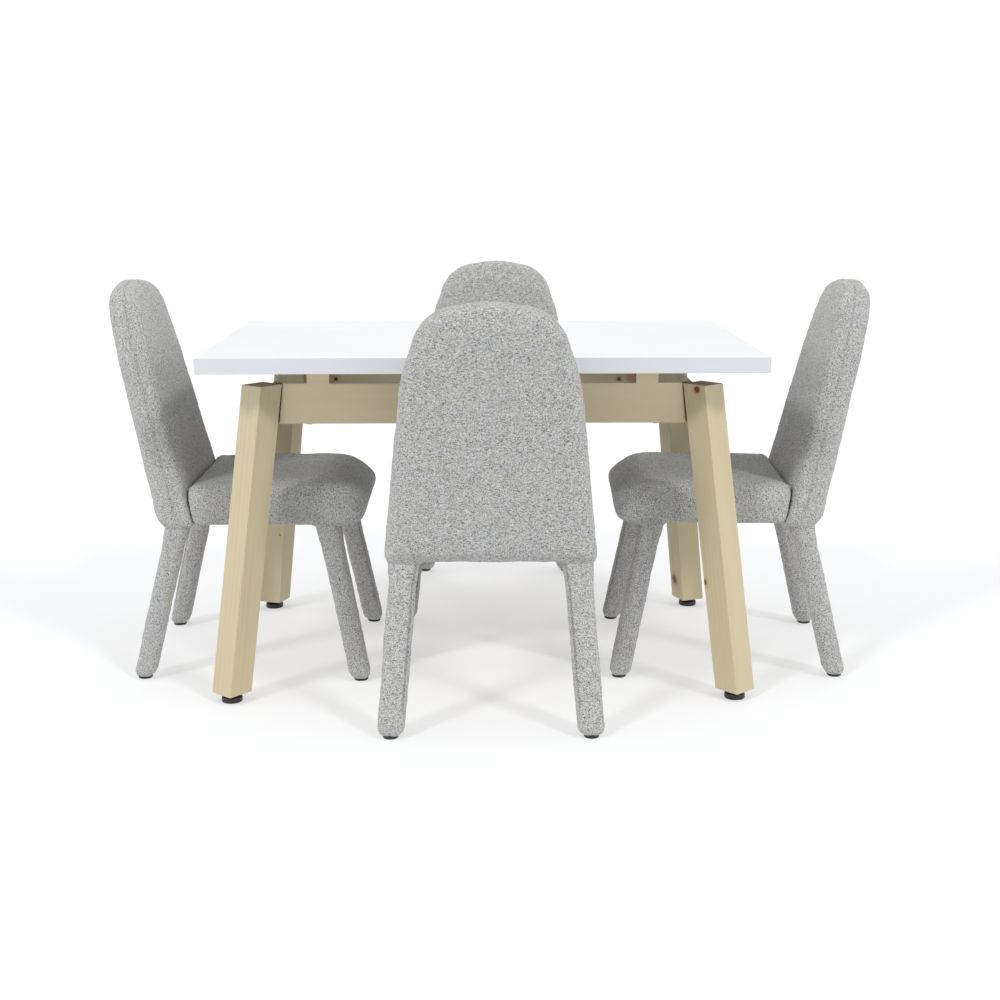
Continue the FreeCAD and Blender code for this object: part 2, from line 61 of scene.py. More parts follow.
def joint_axis(name):
    return Vector(next(joint["axis"] for joint in frame["joints"] if joint["name"] == name))


def chair_matrix(chair):
    """The chair's own frame: the deck's middle is DECK_MIDDLE in front of the origin."""
    facing = -joint_axis(f"{chair}_slide")
    low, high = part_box(f"{chair}_deck")
    middle = (low + high) / 2
    origin = Vector((middle.x, middle.y, 0)) - facing * DECK_MIDDLE
    turn = math.atan2(facing.y, facing.x) - math.pi / 2
    return Matrix.Translation(origin) @ Matrix.Rotation(turn, 4, "Z")


def node_points(node, matrix):
    """A node's vertices in a chair's frame."""
    points = np.array([vertex.co for vertex in frame["nodes"][node].data.vertices], float)
    inverse = np.array(matrix.inverted())
    return points @ inverse[:3, :3].T + inverse[:3, 3]


def leg_line(leg):
    """The middles of a chair leg's top and foot."""
    points = node_points(f"near_chair_{leg}_leg", chair_matrix("near_chair"))
    top = points[points[:, 2] > points[:, 2].max() - NEAR].mean(0)
    foot = points[points[:, 2] < points[:, 2].min() + NEAR].mean(0)
    return top, foot


# ---------------------------------------------------------------- sizes, in a chair's own frame

NEAR = 0.0005
DECK_MIDDLE = 0.229

# The seat's side outline, as (forward, up, corner radius), and how its edges round. Seen from above
# the seat rounds towards SEAT_PLAN_FRONT, a line ahead of its nose, so the nose itself stays full.
SEAT_SIDE = [(0.040, 0.269, 0.004), (0.3765, 0.269, 0.029), (0.3865, 0.305, 0.040),
             (0.3400, 0.3337, 0.080), (0.220, 0.3370, 0.3), (0.040, 0.331, 0.004)]
SEAT_HALF = 0.164
SEAT_PLAN_FRONT = 0.4135
SEAT_CORNER_ROUND = 0.070
SEAT_UNDER_ROUND = 0.0125
SEAT_TOP_ROUND = 0.027
SEAT_NOSE_ROUND = 0.038
SEAT_UPPER_EDGE = (0.276, 0.312)
SEAT_NOSE_START = (0.290, 0.345)
SEAT_GAP = 0.0015
SEAT_GAP_FILL = 0.006

# The back's rake and half thickness, as (value, height) at two heights, and its outline from behind,
# as (across, up) or (across, up, radius of the arc to the next point).
BACK_MIDDLE = [(0.062, 0.270), (-0.0375, 0.711)]
BACK_HALF_THICK = [(0.0305, 0.270), (0.0275, 0.711)]
BACK_ARCH = [(0.154, 0.2645), (-0.154, 0.2645, 0.013), (-0.1650, 0.2755), (-0.1365, 0.525, 0.304),
             (-0.1165, 0.602, 0.076), (-0.046, 0.665, 0.200), (0.046, 0.665, 0.076), (0.1165, 0.602, 0.304),
             (0.1365, 0.525), (0.1650, 0.2755, 0.013)]
BACK_ROUND = 0.0225
BACK_FRONT_ROUND = 0.018
BACK_SEAT_ROUND = 0.009
BACK_ABOVE_SEAT = (0.325, 0.385)

# A leg cover: half width and depth, the flare under the seat, and where its stitched line runs.
LEG_HALF = (0.0214, 0.0182)
LEG_FLARE = (0.0030, 0.0022)
LEG_FLARE_RISE = (0.222, 0.264)
LEG_TAPER = 0.0004
LEG_ROUND = 0.014
LEG_STITCH = (0.39, 0.21)
LEG_STITCH_START = (0.030, 0.060)
LEG_END_ROUND = 0.0135
LEG_FOOT = 0.004
LEG_SEAM = 0.2615
LEG_TOP = 0.2650
STUB_TOP = 0.2715
STUB_BLEND = 0.008

# The recess under the seat, a little smaller than the deck so that no gap shows round it.
DECK_HALF = (0.150, 0.121)
DECK_INSET = 0.003
DECK_TOP = 0.2815

# Seams: how round the leg covers' upper ends are, and the sewn channels' depth and width.
SEAM_ROUND = 0.0013
SEAM_DEPTH = 0.0010
SEAM_WIDTH = 0.0019
BACK_SEAM_FORWARD = 0.004
BACK_SEAM_RIM = (-0.012, -0.004)
BACK_SEAM_START = (0.275, 0.290)
BACK_SEAM_SHARE = 0.5

# Meshing and swelling. Pads start smaller than planned, swell as cloth, and settle back to within
# SETTLE of the planned surface. The height pairs say where each pad's underside stays as planned.
GRID_STEP = 0.005
BACK_GRID = ((-0.19, -0.075, 0.245), (0.19, 0.125, 0.69))
SEAT_GRID = ((-0.19, 0.045, 0.245), (0.19, 0.41, 0.36))
START_SMALLER = 0.0025
BACK_SMALLER_ABOVE = (0.275, 0.310)
SEAT_SMALLER_ABOVE = (0.285, 0.315)
BACK_SWELL_ABOVE = (0.268, 0.300)
SEAT_SWELL_ABOVE = (0.280, 0.300)
SWELL_FRAMES = 20
SWELL_CAP = 0.0055
PRESSURE = 4.0
SETTLE = (-0.0004, 0.0022)
LUMPS = [(0.0042, 0.00042), (0.0105, 0.00045), (0.045, 0.0008)]

# How many points make an arc, a rounded corner of an outline, a quarter of a leg's corner, a leg's
# ring and a turned ring.
ARC_POINTS = 14
CORNER_POINTS = 8
QUARTER_POINTS = 7
LEG_RING_POINTS = 72
TURNED_POINTS = 48


# ---------------------------------------------------------------- mesh helpers

def mesh_piece(name, points, faces):
    mesh = bpy.data.meshes.new(name)
    mesh.from_pydata([tuple(point) for point in points], [], [list(face) for face in faces])
    mesh.validate()
    mesh.polygons.foreach_set("use_smooth", [True] * len(mesh.polygons))
    piece = bpy.data.objects.new(name, mesh)
    SCENE.collection.objects.link(piece)
    return piece


def get_points(mesh):
    points = np.zeros(len(mesh.vertices) * 3, np.float32)
    mesh.vertices.foreach_get("co", points)
    return points.reshape(-1, 3).astype(float)


def get_normals(mesh):
    normals = np.zeros(len(mesh.vertices) * 3, np.float32)
    mesh.vertices.foreach_get("normal", normals)
    return normals.reshape(-1, 3).astype(float)


def set_points(mesh, points):
    mesh.vertices.foreach_set("co", points.astype(np.float32).ravel())
    mesh.update()


def loft(name, rings):
    """A closed tube through equal rings, with a point in the middle of each end."""
    count = len(rings[0])
    points = np.concatenate(rings + [rings[0].mean(0, keepdims=True), rings[-1].mean(0, keepdims=True)])
    first_middle = len(points) - 2
    faces = []
    for ring in range(len(rings) - 1):
        for step in range(count):
            after = (step + 1) % count
            low, high = ring * count, (ring + 1) * count
            faces.append((low + step, low + after, high + after, high + step))
    top = (len(rings) - 1) * count
    for step in range(count):
        after = (step + 1) % count
        faces.append((after, step, first_middle))
        faces.append((top + step, top + after, first_middle + 1))
    return mesh_piece(name, points, faces)


def blend_step(low, high, number):
    share = np.clip((number - low) / (high - low), 0, 1)
    return share * share * (3 - 2 * share)


def lump_noise(points, size, seed):
    """Smooth noise from -1 to 1, with about one lump per size."""
    scaled = points / size
    cell = np.floor(scaled).astype(np.int64)
    part = scaled - cell
    part = part * part * (3 - 2 * part)
    total = np.zeros(len(points))
    for corner in np.ndindex(2, 2, 2):
        spot = cell + corner
        mixed = spot[:, 0] * 73856093 ^ spot[:, 1] * 19349663 ^ spot[:, 2] * 83492791 ^ seed * 2654435761
        mixed = (mixed ^ (mixed >> 13)) * 1274126177
        number = ((mixed >> 8) & 0xFFFF) / 32767.5 - 1
        total += number * np.prod(np.where(corner, part, 1 - part), axis=1)
    return total


# ---------------------------------------------------------------- soft shapes as distance fields

def arc_points(start, end, radius):
    """Points from start to just before end, on an arc that bulges to the left of the way."""
    start, end = np.array(start, float), np.array(end, float)
    chord = end - start
    half = np.linalg.norm(chord) / 2
    inward = np.array([chord[1], -chord[0]]) / (2 * half)
    centre = start + chord / 2 + inward * math.sqrt(radius ** 2 - half ** 2)
    first = math.atan2(*(start - centre)[::-1])
    sweep = -2 * math.asin(half / radius)
    angles = first + sweep * np.arange(ARC_POINTS) / ARC_POINTS
    return centre + radius * np.stack([np.cos(angles), np.sin(angles)], 1)


def arched_outline(entries):
    """Each entry is (across, up) or (across, up, radius of the arc to the next one)."""
    points = []
    for number, entry in enumerate(entries):
        following = entries[(number + 1) % len(entries)]
        if len(entry) == 3:
            points.extend(arc_points(entry[:2], following[:2], entry[2]))
        else:
            points.append(entry)
    return np.array(points)


def rounded_outline(corners):
    """A polygon with each corner (across, up, radius) rounded."""
    points = []
    for number, (across, up, radius) in enumerate(corners):
        here = np.array([across, up])
        before = np.array(corners[number - 1][:2]) - here
        after = np.array(corners[(number + 1) % len(corners)][:2]) - here
        reach = min(np.linalg.norm(before), np.linalg.norm(after)) * 0.49
        before, after = before / np.linalg.norm(before), after / np.linalg.norm(after)
        half = math.acos(float(np.clip(before @ after, -1, 1))) / 2
        cut = min(radius / math.tan(half), reach)
        for share in np.linspace(0, 1, CORNER_POINTS):
            points.append(here + before * cut * (1 - share) ** 2 + after * cut * share ** 2)
    return np.array(points)


def outline_distance(across, up, outline):
    """Distance to a closed outline, negative inside."""
    nearest = np.full(across.shape, 1e9)
    inside = np.zeros(across.shape, bool)
    for number in range(len(outline)):
        (x0, y0), (x1, y1) = outline[number - 1], outline[number]
        edge_x, edge_y = x1 - x0, y1 - y0
        length = edge_x ** 2 + edge_y ** 2
        share = np.clip(((across - x0) * edge_x + (up - y0) * edge_y) / max(length, 1e-12), 0, 1)
        nearest = np.minimum(nearest, (across - x0 - share * edge_x) ** 2 + (up - y0 - share * edge_y) ** 2)
        if y0 != y1:
            crosses = ((y0 > up) != (y1 > up)) & (across < (up - y0) * edge_x / edge_y + x0)
            inside ^= crosses
    return np.where(inside, -1, 1) * np.sqrt(nearest)


def rounded_meet(first, second, radius):
    """The solid inside both distances, with the edge between them rounded."""
    first, second = first + radius, second + radius
    outer = np.sqrt(np.maximum(first, 0) ** 2 + np.maximum(second, 0) ** 2)
    return np.minimum(np.maximum(first, second), 0) + outer - radius


def smooth_join(first, second, reach):
    """The solid of both distances together, with the corner between them filled."""
    share = np.clip(0.5 + 0.5 * (second - first) / reach, 0, 1)
    return second + (first - second) * share - reach * share * (1 - share)


def between(line, up):
    (low_value, low), (high_value, high) = line
    return low_value + (high_value - low_value) * (up - low) / (high - low)


def leg_half(height):
    """Half of a chair leg's width and depth: a slight taper, and a flare under the seat."""
    flare = blend_step(*LEG_FLARE_RISE, height)
    taper = LEG_TAPER * (2 * height / LEG_SEAM - 1)
    return [half + taper + more * flare for half, more in zip(LEG_HALF, LEG_FLARE)]


def leg_distance(points, top, foot):
    """A chair leg from its seam upwards."""
    share = (points[:, 2] - foot[2]) / (top[2] - foot[2])
    half = leg_half(points[:, 2])
    across = np.abs(points[:, 0] - foot[0] - (top[0] - foot[0]) * share) - half[0] + LEG_ROUND
    along = np.abs(points[:, 1] - foot[1] - (top[1] - foot[1]) * share) - half[1] + LEG_ROUND
    outer = np.sqrt(np.maximum(across, 0) ** 2 + np.maximum(along, 0) ** 2)
    section = np.minimum(np.maximum(across, along), 0) + outer - LEG_ROUND
    height = np.maximum(LEG_SEAM - points[:, 2], points[:, 2] - STUB_TOP)
    return rounded_meet(section, height, SEAM_ROUND)


def back_distance(points, arch):
    """The raked, tapered back with its arched top and soft edges."""
    x, y, z = points.T
    lean = math.atan2(BACK_MIDDLE[0][0] - BACK_MIDDLE[1][0], BACK_MIDDLE[1][1] - BACK_MIDDLE[0][1])
    out = (y - between(BACK_MIDDLE, z)) * math.cos(lean)
    face = np.abs(out) - between(BACK_HALF_THICK, z)
    above_seat = blend_step(*BACK_ABOVE_SEAT, z)
    front_round = BACK_SEAT_ROUND + (BACK_FRONT_ROUND - BACK_SEAT_ROUND) * above_seat
    radius = np.where(out > 0, front_round, BACK_ROUND)
    return rounded_meet(outline_distance(x, z, arch), face, radius)


def seat_distance(points, side):
    """The seat block, before the back is cut out of it."""
    x, y, z = points.T
    flank = np.abs(x) - SEAT_HALF
    top_round = SEAT_TOP_ROUND + (SEAT_NOSE_ROUND - SEAT_TOP_ROUND) * blend_step(*SEAT_NOSE_START, y)
    radius = SEAT_UNDER_ROUND + (top_round - SEAT_UNDER_ROUND) * blend_step(*SEAT_UPPER_EDGE, z)
    plan = rounded_meet(y - SEAT_PLAN_FRONT, flank, SEAT_CORNER_ROUND)
    return rounded_meet(outline_distance(y, z, side), plan, radius)


def deck_room(points):
    """The recess under the seat that the plywood deck fills."""
    x, y, z = points.T
    across = np.abs(x) - DECK_HALF[0] + DECK_INSET
    along = np.abs(y - DECK_MIDDLE) - DECK_HALF[1] + DECK_INSET
    return np.maximum(np.maximum(across, along), z - DECK_TOP)


def surface(field, low, step):
    """Points and outward quads of the surface where a field on a grid passes through zero."""
    inside = field < 0
    cells = tuple(size - 1 for size in field.shape)
    total = np.zeros(cells + (3,))
    count = np.zeros(cells)
    for axis in range(3):
        others = [(axis + 1) % 3, (axis + 2) % 3]
        for side in np.ndindex(2, 2):
            start = [0, 0, 0]
            start[others[0]], start[others[1]] = side
            finish = list(start)
            finish[axis] = 1
            first = field[tuple(slice(s, s + n) for s, n in zip(start, cells))]
            second = field[tuple(slice(s, s + n) for s, n in zip(finish, cells))]
            crosses = (first < 0) != (second < 0)
            share = np.where(crosses, first / np.where(crosses, first - second, 1), 0)
            spot = np.array(start, float) + share[..., None] * np.eye(3)[axis]
            total += spot * crosses[..., None]
            count += crosses
    active = count > 0
    number = np.full(cells, -1)
    number[active] = np.arange(active.sum())
    points = (np.argwhere(active) + total[active] / count[active][:, None]) * step + low
    faces = []
    for axis in range(3):
        unit = np.eye(3, dtype=int)
        one, other = unit[(axis + 1) % 3], unit[(axis + 2) % 3]
        lower = inside[tuple(slice(0, -1) if a == axis else slice(1, -1) for a in range(3))]
        upper = inside[tuple(slice(1, None) if a == axis else slice(1, -1) for a in range(3))]
        for outward, chosen in ((True, lower & ~upper), (False, upper & ~lower)):
            spots = np.argwhere(chosen) + one + other
            quad = [number[tuple((spots - one - other).T)], number[tuple((spots - other).T)],
                    number[tuple(spots.T)], number[tuple((spots - one).T)]]
            faces.append(np.stack(quad if outward else quad[::-1], 1))
    return points, np.concatenate(faces)


def field_piece(name, distance, low, high):
    """A mesh piece around the solid that a distance function describes."""
    axes = [np.arange(a, b + GRID_STEP, GRID_STEP) for a, b in zip(low, high)]
    grid = np.stack(np.meshgrid(*axes, indexing="ij"), -1)
    field = distance(grid.reshape(-1, 3)).reshape(grid.shape[:3])
    points, faces = surface(field, np.array(low), GRID_STEP)
    return mesh_piece(name, points, faces)


def inflate(piece, held):
    """Let a pad swell like stuffed cloth, at most SWELL_CAP, but not where held says."""
    start = get_points(piece.data)
    cloth = piece.modifiers.new("cloth", "CLOTH")
    settings = cloth.settings
    settings.quality = 6
    settings.mass = 0.3
    settings.tension_stiffness = 12
    settings.compression_stiffness = 12
    settings.shear_stiffness = 6
    settings.bending_stiffness = 0.6
    settings.use_pressure = True
    settings.uniform_pressure_force = PRESSURE
    settings.effector_weights.gravity = 0
    cloth.point_cache.frame_start = 1
    cloth.point_cache.frame_end = SWELL_FRAMES
    for number in range(1, SWELL_FRAMES + 1):
        SCENE.frame_set(number)
    shaped = piece.evaluated_get(bpy.context.evaluated_depsgraph_get())
    move = get_points(shaped.to_mesh()) - start
    shaped.to_mesh_clear()
    piece.modifiers.remove(cloth)
    SCENE.frame_set(1)
    length = np.linalg.norm(move, axis=1, keepdims=True)
    move *= np.minimum(1, SWELL_CAP / np.maximum(length, 1e-9))
    set_points(piece.data, start + move * (1 - held)[:, None])


def settle(piece, distance):
    """Bring every point back to within SETTLE of the pad's planned surface."""
    mesh = piece.data
    points = get_points(mesh)
    far = distance(points)
    shift = np.clip(far, *SETTLE) - far
    set_points(mesh, points + get_normals(mesh) * shift[:, None])


def subdivide(piece):
    """One level of smooth subdivision, applied."""
    piece.modifiers.new("finer", "SUBSURF").levels = 1
    finer = bpy.data.meshes.new_from_object(piece.evaluated_get(bpy.context.evaluated_depsgraph_get()))
    piece.modifiers.clear()
    piece.data = finer
    finer.polygons.foreach_set("use_smooth", [True] * len(finer.polygons))


def rough_up(piece, seed, seam=None):
    """The uneven loops of the cloth, and a sewn channel where seam gives one."""
    mesh = piece.data
    points = get_points(mesh)
    push = sum(height * lump_noise(points, size, seed + number)
               for number, (size, height) in enumerate(LUMPS))
    sewn = seam(points) if seam else np.zeros(len(points))
    mesh.attributes.new("sewn", "FLOAT", "POINT").data.foreach_set("value", sewn.astype(np.float32))
    set_points(mesh, points + get_normals(mesh) * (push - SEAM_DEPTH * sewn)[:, None])


# ---------------------------------------------------------------- a chair's soft pieces

ARCH = arched_outline(BACK_ARCH)
SIDE = rounded_outline(SEAT_SIDE)
LINES = {leg: leg_line(leg) for leg in LEGS}


def make_back_pad():
    """The back, with a stub for each rear leg and a seam round its rim."""
    def planned(points):
        field = back_distance(points, ARCH)
        for leg in LEGS[:2]:
            field = smooth_join(field, leg_distance(points, *LINES[leg]), STUB_BLEND)
        return field

    def smaller(points):
        return planned(points) + START_SMALLER * blend_step(*BACK_SMALLER_ABOVE, points[:, 2])

    piece = field_piece("back_pad", smaller, *BACK_GRID)
    points = get_points(piece.data)
    inflate(piece, 1 - blend_step(*BACK_SWELL_ABOVE, points[:, 2]))
    settle(piece, planned)
    subdivide(piece)

    def side_seam(points):
        x, y, z = points.T
        out = y - between(BACK_MIDDLE, z) - BACK_SEAM_FORWARD
        rim = blend_step(*BACK_SEAM_RIM, outline_distance(x, z, ARCH))
        return BACK_SEAM_SHARE * np.exp(-(out / SEAM_WIDTH) ** 2) * rim * blend_step(*BACK_SEAM_START, z)

    rough_up(piece, 11, side_seam)
    return piece


def make_seat_pad():
    """The seat, cut to fit the back and the deck, with a stub for each front leg."""
    def planned(points):
        room = SEAT_GAP - back_distance(points, ARCH)
        field = -smooth_join(-seat_distance(points, SIDE), -room, SEAT_GAP_FILL)
        field = np.maximum(field, -deck_room(points))
        for leg in LEGS[2:]:
            field = smooth_join(field, leg_distance(points, *LINES[leg]), STUB_BLEND)
        return field

    def smaller(points):
        return planned(points) + START_SMALLER * blend_step(*SEAT_SMALLER_ABOVE, points[:, 2])

    piece = field_piece("seat_pad", smaller, *SEAT_GRID)
    points = get_points(piece.data)
    inflate(piece, 1 - blend_step(*SEAT_SWELL_ABOVE, points[:, 2]))
    settle(piece, planned)
    subdivide(piece)
    rough_up(piece, 23)
    return piece


def rounded_ring(half, radius, inset, middle):
    """A level rounded rectangle about a point, shrunk by inset."""
    radius = max(radius - inset, 0.0006)
    reach = [size - inset - radius for size in half]
    points = []
    for quarter, (side_x, side_y) in enumerate([(1, 1), (-1, 1), (-1, -1), (1, -1)]):
        for step in range(QUARTER_POINTS):
            angle = math.pi / 2 * (quarter + step / (QUARTER_POINTS - 1))
            points.append((middle[0] + side_x * reach[0] + radius * math.cos(angle),
                           middle[1] + side_y * reach[1] + radius * math.sin(angle), middle[2]))
    return spread_ring(np.array(points))


def spread_ring(points):
    """The same ring as LEG_RING_POINTS evenly spaced points."""
    closed = np.vstack([points, points[:1]])
    along = np.concatenate([[0], np.cumsum(np.linalg.norm(np.diff(closed, axis=0), axis=1))])
    wanted = np.linspace(0, along[-1], LEG_RING_POINTS, endpoint=False)
    return np.stack([np.interp(wanted, along, closed[:, axis]) for axis in range(3)], 1)


def make_leg_cover(leg, seed):
    """A leg's sleeve, stitched along its inner corner, that ends inside the stub under the seat."""
    top, foot = LINES[leg]
    seam_side = [-1 if foot[0] > 0 else 1, -1 if leg.startswith("rear") else 1]
    rings, stitches = [], []
    for height in leg_heights():
        share = (height - foot[2]) / (top[2] - foot[2])
        middle = foot + (top - foot) * share
        inset = end_inset(height - LEG_FOOT, LEG_END_ROUND) + end_inset(LEG_TOP - height, SEAM_ROUND)
        half = leg_half(height)
        rings.append(rounded_ring(half, LEG_ROUND, inset, (middle[0], middle[1], height)))
        stitches.append([middle[axis] + seam_side[axis] * (half[axis] - LEG_ROUND * LEG_STITCH[axis])
                         for axis in range(2)])
    stitches = np.array(stitches)
    piece = loft(f"{leg}_cover", rings)

    def stitched(points):
        line = [np.interp(points[:, 2], leg_heights(), stitches[:, axis]) for axis in range(2)]
        away = np.hypot(points[:, 0] - line[0], points[:, 1] - line[1])
        return np.exp(-(away / SEAM_WIDTH) ** 2) * blend_step(*LEG_STITCH_START, points[:, 2])

    rough_up(piece, seed, stitched)
    return piece


def end_inset(distance, radius):
    """How far a rounded end pulls in at a distance from it."""
    if distance >= radius:
        return 0.0
    return radius - math.sqrt(max(radius ** 2 - (radius - distance) ** 2, 0))


def leg_heights():
    """The heights of a leg cover's rings, close together at its rounded ends."""
    low = LEG_FOOT + LEG_END_ROUND * (1 - np.cos(np.linspace(0, math.pi / 2, 8)))
    middle = np.linspace(low[-1], LEG_TOP - SEAM_ROUND, 110)[1:]
    high = LEG_TOP - SEAM_ROUND + SEAM_ROUND * np.sin(np.linspace(0, math.pi / 2, 4))[1:]
    return np.concatenate([low, middle, high])


# ---------------------------------------------------------------- turned plastic pieces

THREAD_PITCH = 0.00125


def turned(name, profile, middle):
    """A piece turned about a vertical axis, from (radius, height) points."""
    angles = np.linspace(0, 2 * math.pi, TURNED_POINTS, endpoint=False)
    rings = [np.stack([middle[0] + radius * np.cos(angles), middle[1] + radius * np.sin(angles),
                       np.full(TURNED_POINTS, middle[2] + height)], 1) for radius, height in profile]
    return loft(name, rings)


def make_slip(name, middle):
    """A nail-on slip: a low dish with a rounded rim and a countersunk nail."""
    profile = [(0.0022, 0.0011), (0.0034, 0.0004), (0.0098, 0.0), (0.0112, 0.0003), (0.0119, 0.0011),
               (0.0121, 0.0022), (0.0121, 0.0040), (0.0115, 0.0046), (0.0030, 0.0046)]
    return turned(name, profile, middle)


def make_glide(corner):
    """A levelling glide: a dished foot, a collar and a threaded stem."""
    low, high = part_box(f"glide_{corner}")
    middle = ((low.x + high.x) / 2, (low.y + high.y) / 2, 0.0)
    profile = [(0.0120, 0.0006), (0.0150, 0.0), (0.0163, 0.0005), (0.0169, 0.0017), (0.0170, 0.0032),
               (0.0170, 0.0066), (0.0167, 0.0081), (0.0158, 0.0093), (0.0143, 0.0100), (0.0100, 0.0104),
               (0.0072, 0.0107), (0.0066, 0.0113), (0.0065, 0.0150), (0.0062, 0.0156), (0.0038, 0.0157)]
    turns = np.arange(0.0162, high.z, THREAD_PITCH / 2)
    profile += [(0.0039 if number % 2 else 0.0034, height) for number, height in enumerate(turns)]
    return turned(f"glide_{corner}_turned", profile, middle)


# ---------------------------------------------------------------- material helpers

class Recipe:
    """A node material under construction."""

    def __init__(self, name):
        self.material = bpy.data.materials.new(name)
        self.material.use_nodes = True
        self.tree = self.material.node_tree
        self.shader = self.tree.nodes["Principled BSDF"]

    def add(self, kind, inputs=(), **settings):
        """Add a node. inputs are (socket, value or other node's output) pairs."""
        node = self.tree.nodes.new("ShaderNode" + kind)
        for name, setting in settings.items():
            setattr(node, name, setting)
        for socket, source in inputs:
            self.feed(node.inputs[socket], source)
        return node

    def feed(self, socket, source):
        if isinstance(source, bpy.types.NodeSocket):
            self.tree.links.new(source, socket)
        else:
            socket.default_value = source

    def place(self):
        return self.add("TexCoord").outputs["Object"]

    def shifted(self, vector, scale=(1, 1, 1), turn=(0, 0, 0), move=(0, 0, 0)):
        inputs = [("Vector", vector), ("Location", move), ("Rotation", turn), ("Scale", scale)]
        return self.add("Mapping", inputs).outputs["Vector"]

    def noise(self, vector, scale, detail=2.0, rough=0.5, warp=0.0):
        inputs = [("Vector", vector), ("Scale", scale), ("Detail", detail), ("Roughness", rough),
                  ("Distortion", warp)]
        return self.add("TexNoise", inputs).outputs["Fac"]

    def cells(self, vector, scale, feature="F1"):
        node = self.add("TexVoronoi", [("Vector", vector), ("Scale", scale)], feature=feature)
        return node.outputs["Distance"]

    def math(self, operation, first, second=0.0, third=0.0):
        node = self.add("Math", [(0, first), (1, second), (2, third)], operation=operation)
        return node.outputs[0]

    def vector_math(self, operation, first, second):
        node = self.add("VectorMath", [(0, first), (1, second)], operation=operation)
        return node.outputs["Value" if operation in ("LENGTH", "DOT_PRODUCT") else "Vector"]

    def span(self, number, low, high, new_low=0.0, new_high=1.0):
        inputs = [("Value", number), ("From Min", low), ("From Max", high), ("To Min", new_low),
                  ("To Max", new_high)]
        return self.add("MapRange", inputs, clamp=True).outputs["Result"]

    def ramp(self, number, stops):
        node = self.add("ValToRGB", [("Fac", number)])
        elements = node.color_ramp.elements
        while len(elements) < len(stops):
            elements.new(0.5)
        for element, (position, colour) in zip(elements, stops):
            element.position = position
            element.color = (*colour, 1)
        return node.outputs["Color"]

    def mix(self, share, first, second, kind="MIX"):
        node = self.add("Mix", data_type="RGBA", blend_type=kind)
        for socket, source in ((0, share), (6, first), (7, second)):
            if isinstance(source, tuple):
                source = (*source, 1)
            self.feed(node.inputs[socket], source)
        return node.outputs[2]

    def bump(self, height, distance, strength=1.0):
        inputs = [("Height", height), ("Distance", distance), ("Strength", strength)]
        return self.add("Bump", inputs).outputs["Normal"]

    def finish(self, **inputs):
        for name, source in inputs.items():
            socket = self.shader.inputs[name.replace("_", " ").title().replace("Ior", "IOR")]
            self.feed(socket, (*source, 1) if isinstance(source, tuple) else source)
        return self.material


# ---------------------------------------------------------------- materials

CURL = (0.0032, 0.0032, 0.0032)
# End faces' deep red-brown: darker end grain, deepened as painted shade for the leg tops under the table
# top.
END_GRAIN_AND_SHADE = (0.150, 0.050, 0.024)
KNOT_HALO = (0.430, 0.230, 0.080)
# Upright faces of the top: the edge band's grey, darkened as painted shade for the sides.
EDGE_BAND_SHADE = (0.575, 0.592, 0.620)

# Each wood's light, mid, dark and knot colours.
PINE = ((0.515, 0.450, 0.298), (0.480, 0.406, 0.248), (0.380, 0.292, 0.148), (0.085, 0.022, 0.008))
# The aprons' pine: the legs' pine made paler, as painted light for the aprons in the shade under the top.
APRON_PINE_PAINTED_LIGHT = ((0.640, 0.556, 0.386), (0.615, 0.515, 0.330), (0.490, 0.375, 0.205), (0.120, 0.030, 0.010))
BEECH = ((0.560, 0.400, 0.250), (0.520, 0.360, 0.215), (0.420, 0.270, 0.150), (0.120, 0.060, 0.030))


